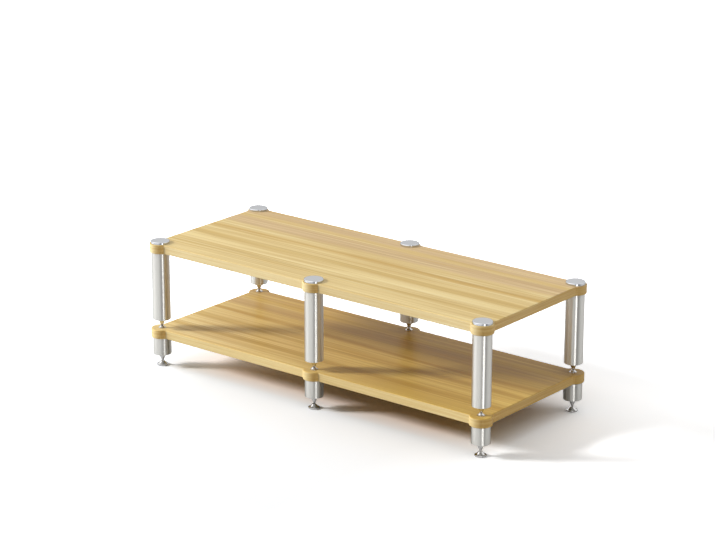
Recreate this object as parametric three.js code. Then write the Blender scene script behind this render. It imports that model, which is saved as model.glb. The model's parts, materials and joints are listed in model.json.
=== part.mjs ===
// Open two-tier rack for audio equipment: two wooden boards on six metal legs.
// Millimetres, +Z up. The origin is on the floor under the middle of the rack, +X runs along its length
// and -Y is its front.
import * as THREE from "three";

// Leg places
const bayPitch = 540; // from one leg axis to the next along the length
const depthPitch = 408; // from the front row of leg axes to the back row

// Columns
const columnRadius = 25;
const columnEdgeBevel = 0.8;
const upperColumnLength = 192;
const lowerColumnLength = 49;

// Threads: a shank or stud of this radius in a tapped bore
const threadRadius = 5;
const threadClearance = 0.35;
const threadEndBevel = 0.8;
const boreSpareDepth = 4; // a blind bore goes on past the end of what is screwed into it
const lowerBoreFreeLength = 9; // between the two shanks inside a lower column

// Caps on the upper board and the studs that hold them
const capOverhang = 1; // past the column below
const capThickness = 6.5;
const capRoofThickness = 2.5; // above the bore
const capEdgeBevel = 1.6;
const capStudEngagement = 20; // length of stud inside the column

// Boards, with a rounded ear about each leg axis
const boardThickness = 25;
const boardEdgeBevel = 1.5;
const earBorder = 4; // of an ear round a cap
const sideEarReach = 15; // of an ear past the straight front or back edge
const endEarReach = 12; // of an ear past the straight end edge
const earFilletRadius = 3; // inside corner between an ear and a straight edge
const boardHoleClearance = 0.75; // round a thread

// Spikes, the same at both levels
const spikeCollarRadius = 9;
const spikeCollarHeight = 5;
const spikeConeHeight = 20;
const spikeTipRadius = 0.5;
const spikeShankLength = 22;
const tipClearance = 0.5; // round a spike's tip at the floor of its recess

// Spike seats on the lower board
const seatRadius = 10;
const seatHeight = 6;
const seatRimHeight = 1.2;
const seatRecessDepth = 5;
const seatMouthClearance = 1.2; // round a spike's cone at the mouth of the recess
const seatLipWidth = 1.2; // round that mouth

// Shoes on the floor
const shoeRadius = 15.5;
const shoeHeight = 12;
const shoeRimHeight = 4;
const shoeRecessDepth = 3;
const shoeMouthClearance = 1.9;
const shoeLipWidth = 1.3;
const shoeFootBevel = 0.8;

// Facets
const columnFacets = 24;
const shoeFacets = 20;
const seatFacets = 16;
const spikeFacets = 12;
const studFacets = 12;
const earStepDegrees = 15;
const filletStepDegrees = 30;
const flareSteps = 3;
const flarePower = 1.6; // above 1 the flare of a seat or shoe is hollow

// Sizes that follow for the caps and the boards
const boreRadius = threadRadius + threadClearance;
const capRadius = columnRadius + capOverhang;
const capBoreDepth = capThickness - capRoofThickness;
const capStudLength = capBoreDepth + boardThickness + capStudEngagement;
const earRadius = capRadius + earBorder;
const sideMargin = earRadius - sideEarReach; // straight front and back edges, outside the leg axes
const endMargin = earRadius - endEarReach; // straight end edges, outside the last leg axes
const boardHoleRadius = threadRadius + boardHoleClearance;
const panelMargin = earRadius + 2 * earFilletRadius; // from a leg axis to a bay's clear panel of board

// Sizes that follow for the spikes and what they stand in
const spikeReach = spikeCollarHeight + spikeConeHeight;
const coneSlope = (spikeCollarRadius - spikeTipRadius) / spikeConeHeight;
const recessFloorRadius = spikeTipRadius + tipClearance;
const seatRecessRadius = spikeTipRadius + coneSlope * seatRecessDepth + seatMouthClearance;
const seatNeckRadius = seatRecessRadius + seatLipWidth;
const seatFloorHeight = seatHeight - seatRecessDepth; // from the board's top to the spike's tip
const seatShankEngagement = lowerColumnLength - lowerBoreFreeLength - spikeShankLength;
const seatShankLength = boardThickness + seatShankEngagement;
const shoeRecessRadius = spikeTipRadius + coneSlope * shoeRecessDepth + shoeMouthClearance;
const shoeNeckRadius = shoeRecessRadius + shoeLipWidth;
const shoeFloorHeight = shoeHeight - shoeRecessDepth; // from the floor to the spike's tip

// Heights above the floor
const lowerColumnFoot = shoeFloorHeight + spikeReach;
const lowerBoardUnderside = lowerColumnFoot + lowerColumnLength;
const lowerBoardTop = lowerBoardUnderside + boardThickness;
const upperColumnFoot = lowerBoardTop + seatFloorHeight + spikeReach;
const upperBoardUnderside = upperColumnFoot + upperColumnLength;
const upperBoardTop = upperBoardUnderside + boardThickness;

const wood = { color: 0xdec083, roughness: 0.5, metalness: 0 };
const aluminium = { color: 0xdad8d3, roughness: 0.36, metalness: 1 };
const chrome = { color: 0xced0d1, roughness: 0.14, metalness: 1 };
const steel = { color: 0xcbcdce, roughness: 0.35, metalness: 1 };

// The legs, in a front and a back row that both run from left to right
const placesAlong = ["left", "middle", "right"];

function legRow(side, y) {
  const middle = (placesAlong.length - 1) / 2;
  return placesAlong.map((place, i) => ({ name: side + "_" + place, x: (i - middle) * bayPitch, y }));
}

const frontLegs = legRow("front", -depthPitch / 2);
const backLegs = legRow("back", depthPitch / 2);
const legs = [...frontLegs, ...backLegs];

// A board's straight edges: the way each faces, as an angle about +Z, and how far it lies outside the legs
const frontEdge = { facing: -Math.PI / 2, margin: sideMargin };
const rightEdge = { facing: 0, margin: endMargin };
const backEdge = { facing: Math.PI / 2, margin: sideMargin };
const leftEdge = { facing: Math.PI, margin: endMargin };

// Points on an arc, both ends included
function arc(x, y, radius, from, to, stepDegrees) {
  const span = to - from;
  const steps = Math.max(1, Math.ceil(Math.abs(THREE.MathUtils.radToDeg(span)) / stepDegrees));
  return Array.from({ length: steps + 1 }, (_, i) => {
    const angle = from + (span * i) / steps;
    return new THREE.Vector2(x + radius * Math.cos(angle), y + radius * Math.sin(angle));
  });
}

// One ear, drawn in by inset all round, from the fillet beside the edge before it to the one beside the edge
// after it, anticlockwise from above
function ear(leg, inset, edgeBefore, edgeAfter) {
  const quarterTurn = Math.PI / 2;
  const halfTurn = Math.PI;
  const wrap = edgeAfter.facing < edgeBefore.facing ? 2 * halfTurn : 0;
  const reach = earRadius + earFilletRadius;
  const meets = (edge) => Math.asin((edge.margin + earFilletRadius) / reach);
  const start = edgeBefore.facing - quarterTurn + meets(edgeBefore);
  const end = edgeAfter.facing + quarterTurn - meets(edgeAfter) + wrap;
  const fillet = (at, from, to) => {
    const x = leg.x + reach * Math.cos(at);
    const y = leg.y + reach * Math.sin(at);
    return arc(x, y, earFilletRadius + inset, from, to, filletStepDegrees);
  };
  return [
    ...fillet(start, edgeBefore.facing + halfTurn, start + halfTurn),
    ...arc(leg.x, leg.y, earRadius - inset, start, end, earStepDegrees).slice(1, -1),
    ...fillet(end, end + halfTurn, edgeAfter.facing + halfTurn + wrap),
  ];
}

// The front and back outline of each pair of legs' zone of the board. A clear panel lies between two zones.
// Fronts run from left to right and backs from right to left.
function boardZones(inset) {
  const edge = depthPitch / 2 + sideMargin - inset;
  return frontLegs.map((leg, i) => {
    const isFirst = i === 0;
    const isLast = i === frontLegs.length - 1;
    const leftSeam = (y) => (isFirst ? [] : [new THREE.Vector2(leg.x - panelMargin, y)]);
    const rightSeam = (y) => (isLast ? [] : [new THREE.Vector2(leg.x + panelMargin, y)]);
    const frontEar = ear(leg, inset, isFirst ? leftEdge : frontEdge, isLast ? rightEdge : frontEdge);
    const backEar = ear(backLegs[i], inset, isLast ? rightEdge : backEdge, isFirst ? leftEdge : backEdge);
    return {
      front: [...leftSeam(-edge), ...frontEar, ...rightSeam(-edge)],
      back: [...rightSeam(edge), ...backEar, ...leftSeam(edge)],
    };
  });
}

// The whole outline as one closed loop, anticlockwise from above
function boardLoop(inset) {
  const zones = boardZones(inset);
  return [...zones.flatMap((zone) => zone.front), ...zones.toReversed().flatMap((zone) => zone.back)];
}

// A hole's rim, clockwise from above
function holeRim(leg, inset) {
  const turn = 2 * Math.PI;
  const stepDegrees = THREE.MathUtils.radToDeg(turn) / studFacets;
  return arc(leg.x, leg.y, boardHoleRadius + inset, turn, 0, stepDegrees).slice(0, -1);
}

// Wall between two loops of as many points, one above the other
function wall(triangles, lower, lowerHeight, upper, upperHeight) {
  lower.forEach((a, i) => {
    const next = (i + 1) % lower.length;
    const b = lower[next];
    const c = upper[next];
    const d = upper[i];
    triangles.push(a.x, a.y, lowerHeight, b.x, b.y, lowerHeight, c.x, c.y, upperHeight);
    triangles.push(a.x, a.y, lowerHeight, c.x, c.y, upperHeight, d.x, d.y, upperHeight);
  });
}

// Flat face inside a contour, round its holes
function face(triangles, contour, holes, height, facesUp) {
  const corners = [...contour, ...holes.flat()];
  for (const triangle of THREE.ShapeUtils.triangulateShape(contour, holes)) {
    const order = facesUp ? triangle : triangle.toReversed();
    for (const i of order) triangles.push(corners[i].x, corners[i].y, height);
  }
}

// A board with its underside at z = 0, its edges and hole mouths bevelled
function boardGeometry() {
  const triangles = [];
  const levels = [
    [boardEdgeBevel, 0],
    [0, boardEdgeBevel],
    [0, boardThickness - boardEdgeBevel],
    [boardEdgeBevel, boardThickness],
  ];
  for (let i = 1; i < levels.length; i += 1) {
    const [lowerInset, lowerHeight] = levels[i - 1];
    const [upperInset, upperHeight] = levels[i];
    wall(triangles, boardLoop(lowerInset), lowerHeight, boardLoop(upperInset), upperHeight);
    for (const leg of legs) {
      wall(triangles, holeRim(leg, lowerInset), lowerHeight, holeRim(leg, upperInset), upperHeight);
    }
  }
  for (const [inset, height] of [levels[0], levels.at(-1)]) {
    const facesUp = height > 0;
    boardZones(inset).forEach((zone, i, zones) => {
      const holes = [holeRim(frontLegs[i], inset), holeRim(backLegs[i], inset)];
      face(triangles, [...zone.front, ...zone.back], holes, height, facesUp);
      if (i === 0) return;
      const before = zones[i - 1];
      const panel = [before.front.at(-1), zone.front[0], zone.back.at(-1), before.back[0]];
      face(triangles, panel, [], height, facesUp);
    });
  }
  const geometry = new THREE.BufferGeometry();
  geometry.setAttribute("position", new THREE.Float32BufferAttribute(triangles, 3));
  geometry.computeVertexNormals();
  return geometry;
}

// A round piece about its own Z axis, from [radius, height] points that run up the outside
function turned(points, facets) {
  const profile = points.map(([radius, height]) => new THREE.Vector2(radius, height));
  return new THREE.LatheGeometry(profile, facets).rotateX(Math.PI / 2);
}

// Bevelled end of a thread, with its tip at the height given: way is 1 for an upper end and -1 for a lower
function threadEnd(height, way) {
  return [
    [threadRadius, height - way * threadEndBevel],
    [threadRadius - threadEndBevel, height],
    [0, height],
  ];
}

function upperColumnGeometry() {
  const spikeBoreDepth = spikeShankLength + boreSpareDepth;
  const studBoreTop = upperColumnLength - capStudEngagement - boreSpareDepth;
  return turned(
    [
      [0, spikeBoreDepth],
      [boreRadius, spikeBoreDepth],
      [boreRadius, 0],
      [columnRadius - columnEdgeBevel, 0],
      [columnRadius, columnEdgeBevel],
      [columnRadius, upperColumnLength - columnEdgeBevel],
      [columnRadius - columnEdgeBevel, upperColumnLength],
      [boreRadius, upperColumnLength],
      [boreRadius, studBoreTop],
      [0, studBoreTop],
    ],
    columnFacets,
  );
}

function lowerColumnGeometry() {
  return turned(
    [
      [boreRadius, 0],
      [columnRadius - columnEdgeBevel, 0],
      [columnRadius, columnEdgeBevel],
      [columnRadius, lowerColumnLength - columnEdgeBevel],
      [columnRadius - columnEdgeBevel, lowerColumnLength],
      [boreRadius, lowerColumnLength],
      [boreRadius, 0],
    ],
    columnFacets,
  );
}

// A cap with its underside at z = 0
function capGeometry() {
  return turned(
    [
      [0, capBoreDepth],
      [boreRadius, capBoreDepth],
      [boreRadius, 0],
      [capRadius, 0],
      [capRadius, capThickness - capEdgeBevel],
      [capRadius - capEdgeBevel, capThickness],
      [0, capThickness],
    ],
    columnFacets,
  );
}

// A cap stud with its lower end at z = 0
function capStudGeometry() {
  return turned([...threadEnd(0, -1).reverse(), ...threadEnd(capStudLength, 1)], studFacets);
}

// A spike with its tip at z = 0
function spikeGeometry() {
  return turned(
    [
      [0, 0],
      [spikeTipRadius, 0],
      [spikeCollarRadius, spikeConeHeight],
      [spikeCollarRadius, spikeReach],
      [threadRadius, spikeReach],
      ...threadEnd(spikeReach + spikeShankLength, 1),
    ],
    spikeFacets,
  );
}

// The hollow flare of a seat or shoe, from its rim up to its neck
function flare(rimRadius, rimHeight, neckRadius, neckHeight) {
  return Array.from({ length: flareSteps + 1 }, (_, i) => {
    const share = i / flareSteps;
    return [
      rimRadius + (neckRadius - rimRadius) * share,
      rimHeight + (neckHeight - rimHeight) * share ** flarePower,
    ];
  });
}

// The recess for a spike's tip, from its mouth down to its floor
function recess(mouthRadius, mouthHeight, floorHeight) {
  return [
    [mouthRadius, mouthHeight],
    [recessFloorRadius, floorHeight],
    [0, floorHeight],
  ];
}

// A seat with the underside of its head at z = 0
function seatGeometry() {
  return turned(
    [
      ...threadEnd(-seatShankLength, -1).reverse(),
      [threadRadius, 0],
      [seatRadius, 0],
      ...flare(seatRadius, seatRimHeight, seatNeckRadius, seatHeight),
      ...recess(seatRecessRadius, seatHeight, seatFloorHeight),
    ],
    seatFacets,
  );
}

// A shoe standing on z = 0
function shoeGeometry() {
  return turned(
    [
      [0, 0],
      [shoeRadius - shoeFootBevel, 0],
      [shoeRadius, shoeFootBevel],
      ...flare(shoeRadius, shoeRimHeight, shoeNeckRadius, shoeHeight),
      ...recess(shoeRecessRadius, shoeHeight, shoeFloorHeight),
    ],
    shoeFacets,
  );
}

const rack = new THREE.Group();

function addPiece(name, geometry, finish, x, y, z) {
  const piece = new THREE.Mesh(geometry, new THREE.MeshStandardMaterial(finish));
  piece.name = name;
  piece.position.set(x, y, z);
  rack.add(piece);
}

addPiece("upper_board", boardGeometry(), wood, 0, 0, upperBoardUnderside);
addPiece("lower_board", boardGeometry(), wood, 0, 0, lowerBoardUnderside);

for (const { name, x, y } of legs) {
  addPiece("cap_" + name, capGeometry(), chrome, x, y, upperBoardTop);
  addPiece("cap_stud_" + name, capStudGeometry(), steel, x, y, upperBoardUnderside - capStudEngagement);
  addPiece("upper_column_" + name, upperColumnGeometry(), aluminium, x, y, upperColumnFoot);
  addPiece("shelf_spike_" + name, spikeGeometry(), chrome, x, y, lowerBoardTop + seatFloorHeight);
  addPiece("spike_seat_" + name, seatGeometry(), chrome, x, y, lowerBoardTop);
  addPiece("lower_column_" + name, lowerColumnGeometry(), aluminium, x, y, lowerColumnFoot);
  addPiece("floor_spike_" + name, spikeGeometry(), chrome, x, y, shoeFloorHeight);
  addPiece("floor_shoe_" + name, shoeGeometry(), chrome, x, y, 0);
}

export default rack;
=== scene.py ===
import json
import math

import bpy
from mathutils import Euler, Matrix, Vector
from mathutils.geometry import tessellate_polygon


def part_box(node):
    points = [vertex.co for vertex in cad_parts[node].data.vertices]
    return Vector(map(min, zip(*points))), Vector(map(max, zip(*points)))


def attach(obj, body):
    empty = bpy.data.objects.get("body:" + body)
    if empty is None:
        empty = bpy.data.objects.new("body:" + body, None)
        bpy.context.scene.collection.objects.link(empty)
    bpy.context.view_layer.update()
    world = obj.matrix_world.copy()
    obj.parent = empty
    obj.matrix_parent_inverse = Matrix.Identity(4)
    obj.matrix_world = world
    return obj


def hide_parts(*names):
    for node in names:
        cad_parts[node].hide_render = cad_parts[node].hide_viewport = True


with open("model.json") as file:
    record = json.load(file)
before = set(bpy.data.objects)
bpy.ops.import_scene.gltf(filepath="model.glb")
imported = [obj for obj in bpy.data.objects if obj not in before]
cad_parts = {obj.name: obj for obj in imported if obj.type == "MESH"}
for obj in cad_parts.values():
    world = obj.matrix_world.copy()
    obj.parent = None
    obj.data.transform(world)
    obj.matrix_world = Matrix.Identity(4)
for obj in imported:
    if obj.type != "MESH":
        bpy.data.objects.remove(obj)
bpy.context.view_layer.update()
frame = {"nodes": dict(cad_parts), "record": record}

# Boards: the ears' reach past the straight edges, the holes and the roundings
SIDE_EAR_REACH = 0.015
END_EAR_REACH = 0.012
EAR_FILLET = 0.003
BOARD_ROUND = 0.0022
BOARD_HOLE_RADIUS = 0.00575
BOARD_HOLE_ROUND = 0.0008

# Columns
COLUMN_ROUND = 0.0009
BORE_RADIUS = 0.00535
BORE_ROUND = 0.0004
SPIKE_BORE_DEPTH = 0.026
STUD_BORE_DEPTH = 0.024

# Caps
CAP_TOP_ROUND = 0.0023
CAP_FOOT_ROUND = 0.0004
CAP_BORE_DEPTH = 0.004

# Spikes
COLLAR_HEIGHT = 0.005
CONE_HEIGHT = 0.02
TIP_RADIUS = 0.0005
SPIKE_ROUND = 0.0004

# Threads on the shanks
THREAD_RADIUS = 0.005
THREAD_DEPTH = 0.0009
THREAD_PITCH = 0.0015
THREAD_TAPER = 0.0012
THREAD_ROWS_PER_TURN = 8

# Seats on the lower board, and shoes on the floor
SEAT_RIM_HEIGHT = 0.0012
SEAT_MOUTH_RADIUS = 0.003825
SEAT_LIP_WIDTH = 0.0012
SEAT_RECESS_DEPTH = 0.005
SEAT_ROUND = 0.0003
SHOE_FOOT_ROUND = 0.0008
SHOE_RIM_HEIGHT = 0.004
SHOE_RIM_ROUND = 0.0008
SHOE_MOUTH_RADIUS = 0.003675
SHOE_LIP_WIDTH = 0.0013
SHOE_RECESS_DEPTH = 0.003
RECESS_FLOOR_RADIUS = 0.001
FLARE_POWER = 1.6

# Fineness of the meshes
SUPPORT = 0.0004  # past a rounding, where a loop keeps the flat beside it flat
STEP_SLACK = 0.001  # of a step, so that a rounding error adds no point to an arc
ROUND_STEPS = 5
FLARE_STEPS = 12
COLUMN_SEGMENTS = 96
FITTING_SEGMENTS = 64
EAR_STEP = math.radians(4)
FILLET_STEP = math.radians(15)
SHARP_ANGLE = math.radians(35)

# Wood: bands whose seams wander, and narrow strips inside them that shift the grain and the tone
BAND_SEAM_SHARE = 0.017
WANDER_SHARE = 0.022
WANDER_ALONG = 2.0
WANDER_ACROSS = 12.0
WANDER_NOISE = (0.25, 0.75)
STRIPS_PER_METRE = 42.0
STRIP_RANDOMNESS = 0.9
STRIP_SHIFT = 37.0
STRIP_LIFT = 0.06

# The grain's noises by name, as (scale along the board, scale across it, offset, detail, roughness)
GRAIN_LAYERS = {
    "drift": (1.6, 12.0, 3.0, 1.0, 0.5),
    "streak": (2.2, 150.0, 0.0, 3.0, 0.6),
    "bright": (1.5, 80.0, 17.0, 1.5, 0.5),
    "dark": (1.8, 110.0, 23.0, 1.0, 0.5),
    "grain": (14.0, 900.0, 7.0, 3.0, 0.65),
    "pore": (45.0, 2600.0, 11.0, 1.0, 0.5),
}

# How far some of them darken and lighten the wood, and the powers that give red less of it and blue more
LAYER_LIFTS = {"drift": (-0.07, 0.07), "streak": (-0.15, 0.14), "grain": (-0.05, 0.05)}
RED_POWER = 0.75
BLUE_POWER = 1.5

# Painted shade: from the front left, a board's tint deepens along X and Y over a range of their weighted sum.
# On the lower board it stands in for the upper board's shade, and its paler front left is painted light
PAINTED_SHADE_ALONG = 0.9
PAINTED_SHADE_ACROSS = 1.5
PAINTED_SHADE_RANGE = (-0.68, -0.06)

# The banded edges: where they begin on a rounding, the deeper right end, and the level lines. The right end's
# deeper tone is end grain and painted shade too, since the left end keeps the paler edge tones
EDGE_FACING = (0.35, 0.75)
SHADED_END_FACING = (0.0, 0.6)
EDGE_LINE_SCALE = (4.0, 4.0, 300.0)
EDGE_LINE_DETAIL = 3.0
EDGE_LINE_ROUGHNESS = 0.6
EDGE_PAINTED_SHADE_SHARE = 0.3

# Pores, relief and lacquer of the wood
PORE_NOISE = (0.62, 0.75)
PORE_SHARE = 0.22
GRAIN_RELIEF_SHARE = 0.6
PORE_RELIEF_SHARE = 0.4
WOOD_BUMP = 0.12
WOOD_BUMP_DEPTH = 0.0002
WOOD_ROUGHNESS = (0.42, 0.55)
WOOD_SPECULAR = 0.15
LACQUER_WEIGHT = 0.3
LACQUER_ROUGHNESS = 0.28

# Metal: lathe marks round a piece, and smudges that change its gloss a little
MARK_TONE_SHARE = 0.97
MARK_BUMP = 0.05
MARK_BUMP_DEPTH = 0.0001
SMUDGE_SCALE = 30.0
SMUDGE_DETAIL = 3.0
SMUDGE_ROUGHNESS = 0.01
UPRIGHT_SPREAD_SHARE = 0.25  # of a turn, from round the piece to along it

# Woods, as (seed, tint at the front left, tint elsewhere). On the lower board the paler front left is painted
# light and the deeper, warmer tint elsewhere is painted shade, over the board's own tone
WOODS = {
    "wood_upper": (2.0, (1.02, 1.04, 1.05), (1.0, 1.02, 1.02)),
    "wood_lower": (9.0, (1.1, 1.11, 1.1), (0.83, 0.74, 0.4)),
}

# Metals, as (colour, roughness, anisotropy, scale of the lathe marks)
METALS = {
    "column_metal": ((0.7, 0.69, 0.65), 0.36, 0.95, 3000.0),
    "cap_metal": ((0.62, 0.635, 0.66), 0.05, 0.0, 3000.0),
    "fitting_metal": ((0.7, 0.69, 0.68), 0.19, 0.0, 4000.0),
    "stud_metal": ((0.6, 0.61, 0.62), 0.35, 0.0, 2000.0),
}

# Shader nodes: the range that most values of a noise lie in, and white
NOISE_RANGE = (0.3, 0.7)
WHITE = (1.0, 1.0, 1.0)

# Camera, fitted to the photograph
IMAGE_WIDTH = 716
FOCAL_PIXELS = 2596.5
SENSOR_WIDTH = 36
CAMERA_AZIMUTH = math.radians(38.57)
CAMERA_ELEVATION = math.radians(17.64)
CAMERA_ROLL = math.radians(0.10)
CAMERA_DISTANCE = 6.892
CAMERA_TARGET = Vector((-0.0162, 0, 0.3267))

# Lamps
KEY_AZIMUTH = math.radians(214.5)  # of the lamp, anticlockwise from +X
KEY_ELEVATION = math.radians(26)
KEY_ANGLE = math.radians(12)
KEY_STRENGTH = 3.2
FILL_PLACE = Vector((-1.65, -0.5, 0.45))
FILL_SIZE = 0.6
FILL_POWER = 13
FILL_COLOUR = (0.88, 1.0, 1.15)

# A tall bright strip to the right front, which only the metal and the lacquer mirror
STRIP_AZIMUTH = math.radians(-30)
STRIP_DISTANCE = 3.0
STRIP_WIDTH = 1.0
STRIP_REACH = 2.5
STRIP_STRENGTH = 3.1
STRIP_FADE_SHARES = [(0.6, 1.0), (1.0, 0.0)]

# The softbox overhead that lights the rack, as (cosine of the angle from its leaning middle, grey)
SOFTBOX_GREYS = [(0.0, 0.0), (0.3, 0.03), (0.5, 0.2), (0.7, 0.7), (0.85, 1.2), (1.0, 1.5)]
SKY_STRENGTH = 0.75
SKY_LEAN_AZIMUTH = math.radians(15)
SKY_LEAN = math.radians(20)

# The studio that metal and lacquer mirror, as (share of a turn from -X round by -Y, +X and +Y, grey)
STUDIO_SHARES = [
    (0.0, 1.15),
    (0.06, 1.55),
    (0.1, 1.7),
    (0.13, 1.62),
    (0.15, 1.42),
    (0.183, 1.17),
    (0.211, 1.17),
    (0.242, 1.14),
    (0.269, 1.08),
    (0.294, 1.0),
    (0.322, 0.85),
    (0.345, 0.62),
    (0.375, 0.4),
    (0.475, 0.25),
    (0.5, 0.5),
    (0.547, 0.88),
    (0.6, 0.98),
    (0.68, 0.98),
    (0.75, 0.85),
    (0.857, 0.71),
    (0.9, 0.8),
    (0.96, 1.15),
    (1.0, 1.15),
]

# The same studio by height, as (share of the way from straight down to straight up, factor)
STUDIO_RISE_SHARES = [
    (0.0, 1.0),
    (0.49, 1.0),
    (0.51, 0.45),
    (0.56, 0.45),
    (0.65, 1.15),
    (0.8, 1.05),
    (0.95, 1.5),
]

# The floor: its size, its tone as a light and in the metal, and how much of its open part the metal sees
FLOOR_SIZE = 60
FLOOR_DIFFUSE = 0.45
FLOOR_MIRRORED = 0.62
FLOOR_MIRROR_SHARE = 0.3
OPEN_SIDE_RANGE = (0.55, 0.75)
OPEN_FRONT_RANGE = (-0.42, -0.22)

# The floor to the camera: its tone rises to a pure white behind the rack, beside it and far in front. Behind
# and beside the rack this is painted light that pales the rack's cast shadow
FLOOR_SEEN_FRONT = 0.97
FLOOR_SEEN_BACK = 1.66
FLOOR_BACK_RANGE = (-0.2, 0.4)
FLOOR_FAR_RANGE = (-1.8, -0.8)
FLOOR_SIDE_PAINTED_LIGHT = 1.2
FLOOR_SIDE_RANGE = (0.35, 0.8)

# Under the rack, painted shade: a warm, darker cast on the floor stands in for the light that has come off
# the wood
PAINTED_FLOOR_CAST = (1.04, 0.85, 0.74)
CAST_SIDE_RANGE = (0.34, 0.56)
CAST_FRONT_RANGE = (-0.2, -0.12)
CAST_BACK_RANGE = (0.12, 0.3)

record = frame["record"]
LEGS = [side + "_" + place for side in ("front", "back") for place in ("left", "middle", "right")]
BODY_OF = {node: body for body, nodes in record["behaviour"]["bodies"].items() for node in nodes}


def leg_axis(leg):
    low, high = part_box("upper_column_" + leg)
    return ((low + high) / 2).to_2d()


def arc(centre, radius, start, end, step):
    """Points from start to end, both included, at most a step apart."""
    count = max(1, math.ceil(abs(end - start) / step - STEP_SLACK))
    angles = [start + (end - start) * i / count for i in range(count + 1)]
    return [centre + Vector((radius * math.cos(a), radius * math.sin(a))) for a in angles]


def soften(corners):
    """A profile from corners (across, height, rounding), with a support point past each end of a rounding."""
    points = []
    for i, (across, height, rounding) in enumerate(corners):
        here = Vector((across, height))
        if not rounding:
            points.append(here)
            continue
        back = (Vector(corners[i - 1][:2]) - here).normalized()
        on = (Vector(corners[(i + 1) % len(corners)][:2]) - here).normalized()
        half = back.angle(on) / 2
        setback = rounding / math.tan(half)
        centre = here + (back + on).normalized() * rounding / math.sin(half)
        start = here + back * setback - centre
        turn = start.angle_signed(here + on * setback - centre)
        points.append(here + back * (setback + SUPPORT))
        for step in range(ROUND_STEPS + 1):
            points.append(centre + Matrix.Rotation(-turn * step / ROUND_STEPS, 2) @ start)
        points.append(here + on * (setback + SUPPORT))
    return points


def smooth_mesh(vertices, faces):
    mesh = bpy.data.meshes.new("piece")
    mesh.from_pydata(vertices, [], faces)
    mesh.validate()
    mesh.shade_smooth()
    mesh.set_sharp_from_angle(angle=SHARP_ANGLE)
    return mesh


def lathe(profile, segments, waver=None):
    """A turned piece about Z. A profile starts and ends on the axis, or closes on itself."""
    on_axis = profile[0].x == 0
    vertices = []
    rows = []
    for radius, height in profile:
        if radius == 0:
            rows.append([len(vertices)] * segments)
            vertices.append((0, 0, height))
            continue
        rows.append(list(range(len(vertices), len(vertices) + segments)))
        for i in range(segments):
            angle = math.tau * i / segments
            r = waver(radius, height, angle) if waver else radius
            vertices.append((r * math.cos(angle), r * math.sin(angle), height))
    if not on_axis:
        rows.append(rows[0])
    faces = []
    for low, high in zip(rows, rows[1:]):
        for i in range(segments):
            j = (i + 1) % segments
            corners = [low[i], low[j], high[j], high[i]]
            faces.append(list(dict.fromkeys(corners)))
    return smooth_mesh(vertices, faces)


def add_piece(name, node, mesh, material, place):
    piece = bpy.data.objects.new(name, mesh)
    bpy.context.scene.collection.objects.link(piece)
    mesh.name = name
    mesh.materials.append(material)
    piece.location = place
    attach(piece, BODY_OF[node])
    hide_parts(node)


class Shader:
    """A node tree, with short ways to add and link its nodes."""

    def __init__(self, owner):
        owner.use_nodes = True
        self.tree = owner.node_tree
        self.tree.nodes.clear()

    def feed(self, socket, value):
        """Links a socket to another node's output, or sets it to a number, a vector or a colour."""
        if isinstance(value, bpy.types.NodeSocket):
            self.tree.links.new(value, socket)
        elif socket.type == "RGBA":
            socket.default_value = (*value, 1)
        else:
            socket.default_value = value

    def add(self, kind, inputs=None, **settings):
        """A new node. Its inputs are given by name or by number."""
        node = self.tree.nodes.new("ShaderNode" + kind)
        for name, value in settings.items():
            setattr(node, name, value)
        for which, value in (inputs or {}).items():
            self.feed(node.inputs[which], value)
        return node

    def math(self, operation, *values):
        return self.add("Math", dict(enumerate(values)), operation=operation).outputs["Value"]

    def plus(self, first, second):
        return self.math("ADD", first, second)

    def times(self, first, second):
        return self.math("MULTIPLY", first, second)

    def vector(self, operation, *values):
        node = self.add("VectorMath", dict(enumerate(values)), operation=operation)
        return node.outputs["Value" if operation in ("DOT_PRODUCT", "LENGTH") else "Vector"]

    def coordinates(self, kind):
        return self.add("TexCoord").outputs[kind]

    def split(self, vector):
        node = self.add("SeparateXYZ", {"Vector": vector})
        return [node.outputs[axis] for axis in "XYZ"]

    def join(self, x, y, z):
        return self.add("CombineXYZ", {"X": x, "Y": y, "Z": z}).outputs["Vector"]

    def mix(self, share, first, second, blend="MIX"):
        node = self.add("Mix", data_type="RGBA", blend_type=blend)
        sockets = [socket for socket in node.inputs if socket.enabled]
        for socket, value in zip(sockets, (share, first, second)):
            self.feed(socket, value)
        return next(socket for socket in node.outputs if socket.enabled)

    def tinted(self, colour, tint):
        """One colour times another."""
        return self.mix(1.0, colour, tint, "MULTIPLY")

    def mix_surfaces(self, share, first, second):
        return self.add("MixShader", dict(enumerate((share, first, second)))).outputs["Shader"]

    def noise(self, vector, detail=2.0, roughness=0.5):
        inputs = {"Vector": vector, "Scale": 1.0, "Detail": detail, "Roughness": roughness}
        return self.add("TexNoise", inputs, noise_dimensions="3D").outputs["Fac"]

    def ramp(self, share, stops):
        """A colour ramp over (place, colour) stops."""
        node = self.add("ValToRGB", {"Fac": share})
        elements = node.color_ramp.elements
        elements.remove(elements[1])
        for i, (place, colour) in enumerate(stops):
            element = elements[0] if i == 0 else elements.new(place)
            element.position = place
            element.color = (*colour, 1)
        return node.outputs["Color"]

    def grade(self, value, low, high, to_low, to_high):
        """value, taken from the range low to high into the range to_low to to_high and held there."""
        inputs = {"Value": value, "From Min": low, "From Max": high, "To Min": to_low, "To Max": to_high}
        return self.add("MapRange", inputs).outputs["Result"]

    def spread(self, noise, to_low, to_high):
        """A noise over the range to_low to to_high."""
        return self.grade(noise, *NOISE_RANGE, to_low, to_high)

    def end(self, surface):
        self.add("OutputMaterial", {"Surface": surface})


def linear(code):
    """An sRGB colour, written as six hex digits, as linear numbers."""
    shares = [int(code[i : i + 2], 16) / 255 for i in (0, 2, 4)]
    return [c / 12.92 if c <= 0.04045 else ((c + 0.055) / 1.055) ** 2.4 for c in shares]


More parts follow.
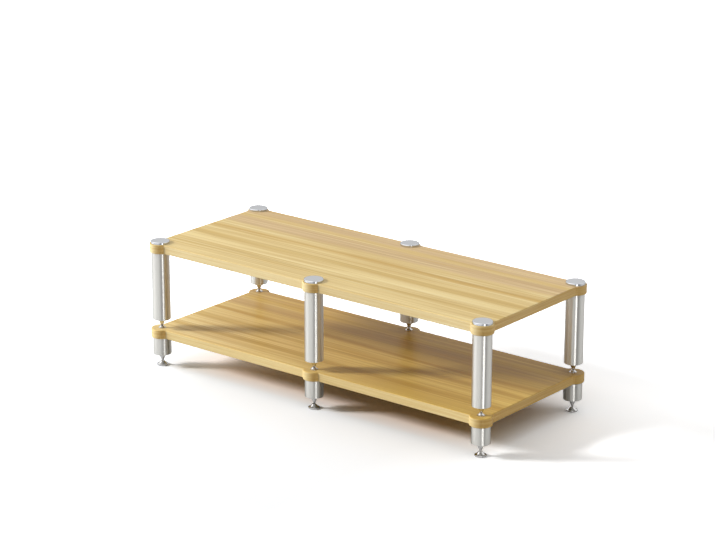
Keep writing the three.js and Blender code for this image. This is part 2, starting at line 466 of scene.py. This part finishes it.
# Wood tones under the lacquer
WOOD_BRIGHT = linear("F3DFA9")
WOOD_LIGHT = linear("E9CE90")
WOOD_CREAM = linear("E0C384")
WOOD_MID = linear("D9B977")
WOOD_HONEY = linear("D0AF69")
WOOD_TAN = linear("C9A256")
WOOD_ROSE = linear("D0AF7E")
WOOD_PORE = linear("9A7446")
EDGE_PALE = linear("F0DBA8")
EDGE_MID = linear("E0C388")
# End-grain tones, put on the right end only, so that they also paint its shade
END_PALE = linear("FAD68D")
END_MID = linear("E2B260")

# Broad bands of tone across a board from front to back, as (share of the width, tone)
BAND_SHARES = [
    (0.05, WOOD_MID),
    (0.045, WOOD_LIGHT),
    (0.075, WOOD_CREAM),
    (0.065, WOOD_HONEY),
    (0.125, WOOD_LIGHT),
    (0.075, WOOD_HONEY),
    (0.095, WOOD_CREAM),
    (0.045, WOOD_TAN),
    (0.095, WOOD_CREAM),
    (0.12, WOOD_ROSE),
    (0.06, WOOD_MID),
    (0.15, WOOD_ROSE),
]

# Streaks over them, as (layer of the grain, noise where they begin and where they are full, share then, tone)
STREAK_SHARES = [
    ("bright", 0.54, 0.78, 0.8, WOOD_BRIGHT),
    ("dark", 0.54, 0.76, 0.75, WOOD_TAN),
]


def wood_bands(shader, x, y, seed):
    """The broad bands. Each seam wanders a little along the board."""
    low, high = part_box("upper_board")
    wander = shader.noise(shader.join(shader.times(x, WANDER_ALONG), shader.times(y, WANDER_ACROSS), seed))
    across = shader.plus(shader.math("DIVIDE", y, high.y - low.y), 0.5)
    across = shader.plus(across, shader.grade(wander, *WANDER_NOISE, -WANDER_SHARE, WANDER_SHARE))
    stops = []
    seam_share = 0
    for share, tone in BAND_SHARES:
        stops.append((seam_share + BAND_SEAM_SHARE, tone))
        seam_share += share
        stops.append((seam_share - BAND_SEAM_SHARE, tone))
    return shader.ramp(across, stops)


def wood_strips(shader, y, seed):
    """How far each narrow strip shifts the grain, and how much it lightens the tone."""
    inputs = {"W": shader.plus(y, seed), "Scale": STRIPS_PER_METRE, "Randomness": STRIP_RANDOMNESS}
    cells = shader.add("TexVoronoi", inputs, voronoi_dimensions="1D")
    drawn = shader.add("SeparateColor", {"Color": cells.outputs["Color"]}).outputs
    shift = shader.times(drawn["Red"], STRIP_SHIFT)
    return shift, shader.grade(drawn["Green"], 0, 1, -STRIP_LIFT, STRIP_LIFT)


def wood_layers(shader, place, shift, seed):
    """The grain's noises by name, drawn out along the board."""
    x, y, z = shader.split(place)
    layers = {}
    for name, (along, across, offset, detail, roughness) in GRAIN_LAYERS.items():
        stretched = shader.join(
            shader.plus(shader.times(x, along), shift),
            shader.times(y, across),
            shader.plus(shader.times(z, across), seed + offset),
        )
        layers[name] = shader.noise(stretched, detail, roughness)
    return layers


def wood_lift(shader, lift, layers):
    """A tint that lightens and darkens the wood, and warms it where it is darker."""
    for name, (least, most) in LAYER_LIFTS.items():
        lift = shader.plus(lift, shader.spread(layers[name], least, most))
    lift = shader.plus(lift, 1.0)
    red = shader.math("POWER", lift, RED_POWER)
    blue = shader.math("POWER", lift, BLUE_POWER)
    return shader.add("CombineColor", {"Red": red, "Green": lift, "Blue": blue}).outputs["Color"]


def banded(shader, colour, place, tint):
    """Puts a band round a board's edges, with fine level lines. It is deeper in tone at the right end: end
    grain, and painted shade, since the left end keeps the paler edge tones.
    """
    facing_x, _, facing_z = shader.split(shader.coordinates("Normal"))
    edge_share = shader.grade(shader.math("ABSOLUTE", facing_z), *EDGE_FACING, 1.0, 0.0)
    shaded_end_share = shader.grade(facing_x, *SHADED_END_FACING, 0.0, 1.0)
    level = shader.vector("MULTIPLY", place, EDGE_LINE_SCALE)
    lines = shader.spread(shader.noise(level, EDGE_LINE_DETAIL, EDGE_LINE_ROUGHNESS), 0.0, 1.0)
    band = shader.mix(shaded_end_share, shader.mix(lines, EDGE_MID, EDGE_PALE), shader.mix(lines, END_MID, END_PALE))
    # The band takes a share of the board's deeper tint, which is painted shade
    band = shader.tinted(band, [1 - EDGE_PAINTED_SHADE_SHARE + EDGE_PAINTED_SHADE_SHARE * part for part in tint])
    return shader.mix(edge_share, colour, band)


def wood(name, seed, painted_light_tint, tint):
    """Strips glued side by side, with long grain along X, under a satin lacquer. Its tint holds painted shade
    away from the front left.
    """
    material = bpy.data.materials.new(name)
    shader = Shader(material)
    place = shader.coordinates("Object")
    x, y, _ = shader.split(place)
    shift, strip_lift = wood_strips(shader, y, seed)
    layers = wood_layers(shader, place, shift, seed)

    # Painted shade: the tint deepens away from the front left, most on the lower board under the upper one
    painted_shade_sum = shader.plus(shader.times(x, PAINTED_SHADE_ALONG), shader.times(y, PAINTED_SHADE_ACROSS))
    painted_shade_tint = shader.mix(shader.grade(painted_shade_sum, *PAINTED_SHADE_RANGE, 0.0, 1.0), painted_light_tint, tint)
    colour = shader.tinted(wood_bands(shader, x, y, seed), painted_shade_tint)
    colour = shader.tinted(colour, wood_lift(shader, strip_lift, layers))
    for layer, begins, full, share, tone in STREAK_SHARES:
        streak_share = shader.grade(layers[layer], begins, full, 0.0, share)
        colour = shader.mix(streak_share, colour, shader.tinted(painted_shade_tint, tone))
    colour = banded(shader, colour, place, tint)
    colour = shader.mix(shader.grade(layers["pore"], *PORE_NOISE, 0.0, PORE_SHARE), colour, WOOD_PORE)

    grain_relief = shader.times(layers["grain"], GRAIN_RELIEF_SHARE)
    relief = shader.plus(grain_relief, shader.times(layers["pore"], PORE_RELIEF_SHARE))
    bump = shader.add("Bump", {"Strength": WOOD_BUMP, "Distance": WOOD_BUMP_DEPTH, "Height": relief})
    inputs = {
        "Base Color": colour,
        "Roughness": shader.spread(layers["grain"], *WOOD_ROUGHNESS),
        "Specular IOR Level": WOOD_SPECULAR,
        "Coat Weight": LACQUER_WEIGHT,
        "Coat Roughness": LACQUER_ROUGHNESS,
        "Normal": bump.outputs["Normal"],
    }
    shader.end(shader.add("BsdfPrincipled", inputs).outputs["BSDF"])
    return material


def turned_metal(name, colour, roughness, anisotropy, mark_scale):
    """Bare metal off the lathe: its marks run round the piece, so that light spreads along it."""
    material = bpy.data.materials.new(name)
    shader = Shader(material)
    place = shader.coordinates("Object")
    x, y, z = shader.split(place)
    radius = shader.vector("LENGTH", shader.join(x, y, 0.0))
    marks = shader.noise(shader.join(shader.times(radius, mark_scale), 0.0, shader.times(z, mark_scale)))
    marked = [part * MARK_TONE_SHARE for part in colour]
    smudge = shader.noise(shader.vector("MULTIPLY", place, (SMUDGE_SCALE,) * 3), SMUDGE_DETAIL)
    bump = shader.add("Bump", {"Strength": MARK_BUMP, "Distance": MARK_BUMP_DEPTH, "Height": marks})
    tangent = shader.add("Tangent", direction_type="RADIAL", axis="Z")
    inputs = {
        "Base Color": shader.mix(shader.spread(marks, 0.0, 1.0), marked, colour),
        "Metallic": 1.0,
        "Roughness": shader.spread(smudge, roughness - SMUDGE_ROUGHNESS, roughness + SMUDGE_ROUGHNESS),
        "Anisotropic": anisotropy,
        "Anisotropic Rotation": UPRIGHT_SPREAD_SHARE,
        "Normal": bump.outputs["Normal"],
        "Tangent": tangent.outputs["Tangent"],
    }
    shader.end(shader.add("BsdfPrincipled", inputs).outputs["BSDF"])
    return material


def board_loop(inset):
    """The boards' outline drawn in by inset all round, anticlockwise from above."""
    axes = {leg: leg_axis(leg) for leg in LEGS}
    low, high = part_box("upper_board")
    end_leg = axes["back_right"]
    ear = min(high.x - end_leg.x, high.y - end_leg.y)
    reach = ear + EAR_FILLET
    side = ear - SIDE_EAR_REACH
    end = ear - END_EAR_REACH
    front, right, back, left = (-math.pi / 2, side), (0, end), (math.pi / 2, side), (math.pi, end)

    def meets(edge):
        """The angle at a leg's axis between an edge's own way and its fillet's centre."""
        return math.asin((edge[1] + EAR_FILLET) / reach)

    def ear_points(leg, before, after):
        """An ear and its fillets. An edge is given as (the way it faces, its distance from the axis)."""
        wrap = math.tau if after[0] < before[0] else 0
        start = before[0] - math.pi / 2 + meets(before)
        finish = after[0] + math.pi / 2 - meets(after) + wrap

        def fillet(at, first, last):
            centre = axes[leg] + Vector((reach * math.cos(at), reach * math.sin(at)))
            return arc(centre, EAR_FILLET + inset, first, last, FILLET_STEP)

        return [
            *fillet(start, before[0] + math.pi, start + math.pi),
            *arc(axes[leg], ear - inset, start, finish, EAR_STEP)[1:-1],
            *fillet(finish, finish + math.pi, after[0] + math.pi + wrap),
        ]

    return [
        *ear_points("front_left", left, front),
        *ear_points("front_middle", front, front),
        *ear_points("front_right", front, right),
        *ear_points("back_right", right, back),
        *ear_points("back_middle", back, back),
        *ear_points("back_left", back, left),
    ]


def board_mesh(thickness):
    """A board with its underside at z = 0, its edges and its holes' mouths rounded."""
    vertices = []
    faces = []

    def add_loop(points, height):
        first = len(vertices)
        vertices.extend((point.x, point.y, height) for point in points)
        return list(range(first, len(vertices)))

    def add_wall(rims):
        for low, high in zip(rims, rims[1:]):
            for i in range(len(low)):
                j = (i + 1) % len(low)
                faces.append((low[i], low[j], high[j], high[i]))

    def levels(rounding):
        """A wall's profile as (how far in, height), from one rounding's end on a flat to the other's."""
        flat = 2 * (rounding + SUPPORT)
        corners = [(0, 0, rounding), (0, thickness, rounding)]
        return soften([(flat, 0, 0), *corners, (flat, thickness, 0)])[1:-1]

    outline = [add_loop(board_loop(inset), height) for inset, height in levels(BOARD_ROUND)]
    add_wall(outline)
    lower_rims = [outline[0]]
    upper_rims = [outline[-1]]
    for leg in LEGS:
        rims = []
        for inset, height in levels(BOARD_HOLE_ROUND):
            circle = arc(leg_axis(leg), BOARD_HOLE_RADIUS + inset, math.tau, 0, math.tau / FITTING_SEGMENTS)
            rims.append(add_loop(circle[:-1], height))
        add_wall(rims)
        lower_rims.append(rims[0])
        upper_rims.append(rims[-1])
    for rims, faces_up in ((lower_rims, False), (upper_rims, True)):
        corners = [i for rim in rims for i in rim]
        polygons = [[Vector(vertices[i]) for i in rim] for rim in rims]
        for triangle in tessellate_polygon(polygons):
            a, b, c = (Vector(vertices[corners[i]]) for i in triangle)
            points_up = (b - a).cross(c - a).z > 0
            order = triangle if points_up == faces_up else triangle[::-1]
            faces.append([corners[i] for i in order])
    return smooth_mesh(vertices, faces)


def column_mesh(radius, length, bores=None):
    """A round bar standing on z = 0, with a bore of a given depth in each end, or else one right through."""
    mouth = BORE_RADIUS
    outside = [
        (mouth, 0, BORE_ROUND),
        (radius, 0, COLUMN_ROUND),
        (radius, length, COLUMN_ROUND),
        (mouth, length, BORE_ROUND),
    ]
    if bores is None:
        return lathe(soften(outside), COLUMN_SEGMENTS)
    lower, upper = bores
    corners = [(0, lower, 0), (mouth, lower, 0), *outside, (mouth, length - upper, 0), (0, length - upper, 0)]
    return lathe(soften(corners), COLUMN_SEGMENTS)


def cap_mesh(radius, thickness):
    """A disc with its underside at z = 0 and a blind bore there."""
    corners = [
        (0, CAP_BORE_DEPTH, 0),
        (BORE_RADIUS, CAP_BORE_DEPTH, 0),
        (BORE_RADIUS, 0, BORE_ROUND),
        (radius, 0, CAP_FOOT_ROUND),
        (radius, thickness, CAP_TOP_ROUND),
        (0, thickness, 0),
    ]
    return lathe(soften(corners), COLUMN_SEGMENTS)


def thread_rows(start, end):
    """The points of a shank's side between two heights, close enough to show its turns."""
    count = round((end - start) / THREAD_PITCH * THREAD_ROWS_PER_TURN)
    return [Vector((THREAD_RADIUS, start + (end - start) * i / count)) for i in range(count + 1)]


def thread_waver(start, end):
    """Cuts a right-hand thread into the shank between two heights, run out at both ends."""

    def waver(radius, height, angle):
        if not start <= height <= end or radius < THREAD_RADIUS - THREAD_DEPTH:
            return radius
        phase = (height / THREAD_PITCH - angle / math.tau) % 1
        fade = min(1, (height - start) / THREAD_TAPER, (end - height) / THREAD_TAPER)
        return radius - THREAD_DEPTH * (1 - abs(2 * phase - 1)) * fade

    return waver


def spike_mesh(radius, height):
    """A spike with its tip at z = 0."""
    reach = CONE_HEIGHT + COLLAR_HEIGHT
    head = [
        (0, 0, 0),
        (TIP_RADIUS, 0, 0),
        (radius, CONE_HEIGHT, SPIKE_ROUND),
        (radius, reach, SPIKE_ROUND),
        (THREAD_RADIUS, reach, 0),
    ]
    end = height - SPIKE_ROUND
    tip = [Vector((THREAD_RADIUS - THREAD_DEPTH, height)), Vector((0, height))]
    profile = [*soften(head), *thread_rows(reach, end)[1:], *tip]
    return lathe(profile, FITTING_SEGMENTS, thread_waver(reach, end))


def flare(rim_radius, rim_height, neck_radius, neck_height):
    """The hollow sweep of a seat or shoe, from its rim up to its neck."""
    points = []
    for step in range(1, FLARE_STEPS):
        share = step / FLARE_STEPS
        across = rim_radius + (neck_radius - rim_radius) * share
        points.append((across, rim_height + (neck_height - rim_height) * share**FLARE_POWER, 0))
    return points


def recess(mouth, height, depth):
    """The hollow that takes a spike's tip, from its mouth down to the axis."""
    return [(mouth, height, SEAT_ROUND), (RECESS_FLOOR_RADIUS, height - depth, 0), (0, height - depth, 0)]


def seat_mesh(radius, shank, height):
    """A seat with the underside of its head at z = 0 and a shank below."""
    neck = SEAT_MOUTH_RADIUS + SEAT_LIP_WIDTH
    foot = -shank + SPIKE_ROUND
    tip = [Vector((0, -shank)), Vector((THREAD_RADIUS - THREAD_DEPTH, -shank))]
    head = [
        (THREAD_RADIUS, 0, 0),
        (radius, 0, SEAT_ROUND),
        (radius, SEAT_RIM_HEIGHT, SEAT_ROUND),
        *flare(radius, SEAT_RIM_HEIGHT, neck, height),
        (neck, height, 0),
        *recess(SEAT_MOUTH_RADIUS, height, SEAT_RECESS_DEPTH),
    ]
    profile = [*tip, *thread_rows(foot, 0)[:-1], *soften(head)]
    return lathe(profile, FITTING_SEGMENTS, thread_waver(foot, 0))


def shoe_mesh(radius, height):
    """A shoe standing on z = 0."""
    neck = SHOE_MOUTH_RADIUS + SHOE_LIP_WIDTH
    corners = [
        (0, 0, 0),
        (radius, 0, SHOE_FOOT_ROUND),
        (radius, SHOE_RIM_HEIGHT, SHOE_RIM_ROUND),
        *flare(radius, SHOE_RIM_HEIGHT, neck, height),
        (neck, height, 0),
        *recess(SHOE_MOUTH_RADIUS, height, SHOE_RECESS_DEPTH),
    ]
    return lathe(soften(corners), FITTING_SEGMENTS)


def base(node):
    """A node's size and the middle of its underside."""
    low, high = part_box(node)
    middle = (low + high) / 2
    return high - low, Vector((middle.x, middle.y, low.z))


def greys(stops):
    return [(place, (grey,) * 3) for place, grey in stops]


def aim(lamp, way):
    """Turns a lamp so that it shines from way towards the middle of the floor under the rack."""
    lamp.rotation_euler = way.to_track_quat("Z", "Y").to_euler()


def add_light(name, kind):
    light = bpy.data.objects.new(name, bpy.data.lights.new(name, kind))
    bpy.context.scene.collection.objects.link(light)
    return light


def add_key():
    """A broad sun from the front left, which nothing mirrors."""
    key = add_light("key", "SUN")
    key.data.energy = KEY_STRENGTH
    key.data.angle = KEY_ANGLE
    key.visible_glossy = False
    level = math.cos(KEY_ELEVATION)
    aim(key, Vector((math.cos(KEY_AZIMUTH) * level, math.sin(KEY_AZIMUTH) * level, math.sin(KEY_ELEVATION))))


def add_fill():
    """A small cool lamp at the left end, low down."""
    fill = add_light("fill", "AREA")
    fill.data.size = FILL_SIZE
    fill.data.energy = FILL_POWER
    fill.data.color = FILL_COLOUR
    fill.visible_camera = False
    fill.visible_glossy = False
    fill.location = FILL_PLACE
    aim(fill, FILL_PLACE)


def seen_and_mirrored(shader):
    """1 for rays from the camera, also through something clear, and 1 for rays that a surface mirrors."""
    rays = shader.add("LightPath").outputs
    return shader.plus(rays["Is Camera Ray"], rays["Is Transmission Ray"]), rays["Is Glossy Ray"]


def add_world():
    """White to the camera, a softbox overhead as light, and the studio's greys in metal and lacquer."""
    world = bpy.data.worlds.new("studio")
    bpy.context.scene.world = world
    shader = Shader(world)
    way = shader.coordinates("Generated")
    x, y, z = shader.split(way)
    turn = shader.plus(shader.math("DIVIDE", shader.math("ARCTAN2", y, x), math.tau), 0.5)
    rise = shader.ramp(shader.grade(z, -1, 1, 0, 1), greys(STUDIO_RISE_SHARES))
    studio = shader.tinted(shader.ramp(turn, greys(STUDIO_SHARES)), rise)
    lean = Euler((0, SKY_LEAN, SKY_LEAN_AZIMUTH)).to_matrix() @ Vector((0, 0, 1))
    softbox = shader.ramp(shader.vector("DOT_PRODUCT", way, lean), greys(SOFTBOX_GREYS))
    softbox = shader.tinted(softbox, (SKY_STRENGTH,) * 3)
    seen, mirrored = seen_and_mirrored(shader)
    colour = shader.mix(seen, shader.mix(mirrored, softbox, studio), WHITE)
    background = shader.add("Background", {"Color": colour, "Strength": 1.0})
    shader.add("OutputWorld", {"Surface": background.outputs["Background"]})


def add_sheet(name, corners):
    """A flat sheet of the studio, and the shader of its material."""
    mesh = bpy.data.meshes.new(name)
    mesh.from_pydata(corners, [], [(0, 1, 2, 3)])
    sheet = bpy.data.objects.new(name, mesh)
    bpy.context.scene.collection.objects.link(sheet)
    material = bpy.data.materials.new(name)
    mesh.materials.append(material)
    return sheet, Shader(material)


def seen_floor(shader, along, y):
    """The floor's tone to the camera, with painted light that pales the rack's shadow behind and beside it,
    and a painted warm shade under it.
    """
    # Painted light: the tone rises behind and beside the rack, where its shadow falls
    painted_light_behind = shader.grade(y, *FLOOR_BACK_RANGE, FLOOR_SEEN_FRONT, FLOOR_SEEN_BACK)
    far = shader.grade(y, *FLOOR_FAR_RANGE, FLOOR_SEEN_BACK, FLOOR_SEEN_FRONT)
    lift = shader.grade(along, *FLOOR_SIDE_RANGE, 1.0, FLOOR_SIDE_PAINTED_LIGHT)
    tone = shader.times(shader.math("MAXIMUM", painted_light_behind, far), lift)
    # Painted shade under the rack: a warm, darker cast on the floor
    under = shader.grade(along, *CAST_SIDE_RANGE, 1.0, 0.0)
    under = shader.times(under, shader.grade(y, *CAST_FRONT_RANGE, 0.0, 1.0))
    under = shader.times(under, shader.grade(y, *CAST_BACK_RANGE, 1.0, 0.0))
    return shader.tinted(shader.mix(under, WHITE, PAINTED_FLOOR_CAST), tone)


def add_floor():
    """The floor has one tone to light the rack with, one in the metal, and one to the camera."""
    half = FLOOR_SIZE / 2
    corners = [(-half, -half, 0), (half, -half, 0), (half, half, 0), (-half, half, 0)]
    floor, shader = add_sheet("floor", corners)
    x, y, _ = shader.split(shader.coordinates("Object"))
    along = shader.math("ABSOLUTE", x)
    seen, mirrored = seen_and_mirrored(shader)
    tone = shader.mix(mirrored, (FLOOR_DIFFUSE,) * 3, (FLOOR_MIRRORED,) * 3)
    tone = shader.mix(seen, tone, seen_floor(shader, along, y))
    matt = shader.add("BsdfDiffuse", {"Color": tone}).outputs["BSDF"]
    past_end = shader.grade(along, *OPEN_SIDE_RANGE, 0.0, 1.0)
    past_front = shader.grade(y, *OPEN_FRONT_RANGE, 1.0, 0.0)
    beside = shader.times(mirrored, shader.math("MAXIMUM", past_end, past_front))
    clear = shader.add("BsdfTransparent").outputs["BSDF"]
    shader.end(shader.mix_surfaces(shader.times(beside, 1 - FLOOR_MIRROR_SHARE), matt, clear))


def add_strip():
    """The bright strip. It fades out to both sides, and only mirrored rays meet it."""
    half = STRIP_WIDTH / 2
    low, high = -STRIP_REACH, STRIP_REACH
    corners = [(0, -half, low), (0, half, low), (0, half, high), (0, -half, high)]
    strip, shader = add_sheet("strip", corners)
    strip.location = (STRIP_DISTANCE * math.cos(STRIP_AZIMUTH), STRIP_DISTANCE * math.sin(STRIP_AZIMUTH), 0)
    strip.rotation_euler.z = STRIP_AZIMUTH
    for ray in ("camera", "diffuse", "transmission", "volume_scatter", "shadow"):
        setattr(strip, "visible_" + ray, False)
    strip.active_material.cycles.emission_sampling = "NONE"
    _, y, _ = shader.split(shader.coordinates("Object"))
    beside = shader.math("DIVIDE", shader.math("ABSOLUTE", y), half)
    bright = shader.ramp(beside, greys(STRIP_FADE_SHARES))
    glow = shader.add("Emission", {"Color": bright, "Strength": STRIP_STRENGTH}).outputs["Emission"]
    clear = shader.add("BsdfTransparent").outputs["BSDF"]
    shader.end(shader.mix_surfaces(bright, clear, glow))


def add_camera():
    camera = bpy.data.objects.new("camera", bpy.data.cameras.new("camera"))
    bpy.context.scene.collection.objects.link(camera)
    bpy.context.scene.camera = camera
    camera.data.sensor_width = SENSOR_WIDTH
    camera.data.lens = FOCAL_PIXELS / IMAGE_WIDTH * SENSOR_WIDTH
    upright = Euler((math.pi / 2 - CAMERA_ELEVATION, 0, CAMERA_AZIMUTH)).to_matrix()
    camera.rotation_euler = (upright @ Matrix.Rotation(CAMERA_ROLL, 3, "Z")).to_euler()
    camera.location = CAMERA_TARGET + upright @ Vector((0, 0, CAMERA_DISTANCE))


# Finishes
woods = {name: wood(name, *finish) for name, finish in WOODS.items()}
metals = {name: turned_metal(name, *finish) for name, finish in METALS.items()}
fitting_metal = metals["fitting_metal"]

# The boards
for level in ("upper", "lower"):
    node = level + "_board"
    size, place = base(node)
    add_piece("board_" + level, node, board_mesh(size.z), woods["wood_" + level], place)

# The legs
for leg in LEGS:
    node = "cap_" + leg
    size, place = base(node)
    add_piece("cap_disc_" + leg, node, cap_mesh(size.x / 2, size.z), metals["cap_metal"], place)

    node = "upper_column_" + leg
    size, place = base(node)
    mesh = column_mesh(size.x / 2, size.z, (SPIKE_BORE_DEPTH, STUD_BORE_DEPTH))
    add_piece("column_upper_" + leg, node, mesh, metals["column_metal"], place)

    node = "lower_column_" + leg
    size, place = base(node)
    add_piece("column_lower_" + leg, node, column_mesh(size.x / 2, size.z), metals["column_metal"], place)

    for level in ("shelf", "floor"):
        node = level + "_spike_" + leg
        size, place = base(node)
        add_piece("spike_" + level + "_" + leg, node, spike_mesh(size.x / 2, size.z), fitting_metal, place)

    node = "spike_seat_" + leg
    size, place = base(node)
    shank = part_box("lower_board")[1].z - place.z
    mesh = seat_mesh(size.x / 2, shank, size.z - shank)
    add_piece("seat_" + leg, node, mesh, fitting_metal, place + Vector((0, 0, shank)))

    node = "floor_shoe_" + leg
    size, place = base(node)
    add_piece("shoe_" + leg, node, shoe_mesh(size.x / 2, size.z), fitting_metal, place)

    for slot in frame["nodes"]["cap_stud_" + leg].material_slots:
        slot.material = metals["stud_metal"]

# The studio
add_key()
add_fill()
add_world()
add_floor()
add_strip()
add_camera()

bpy.context.scene.view_settings.view_transform = "Standard"
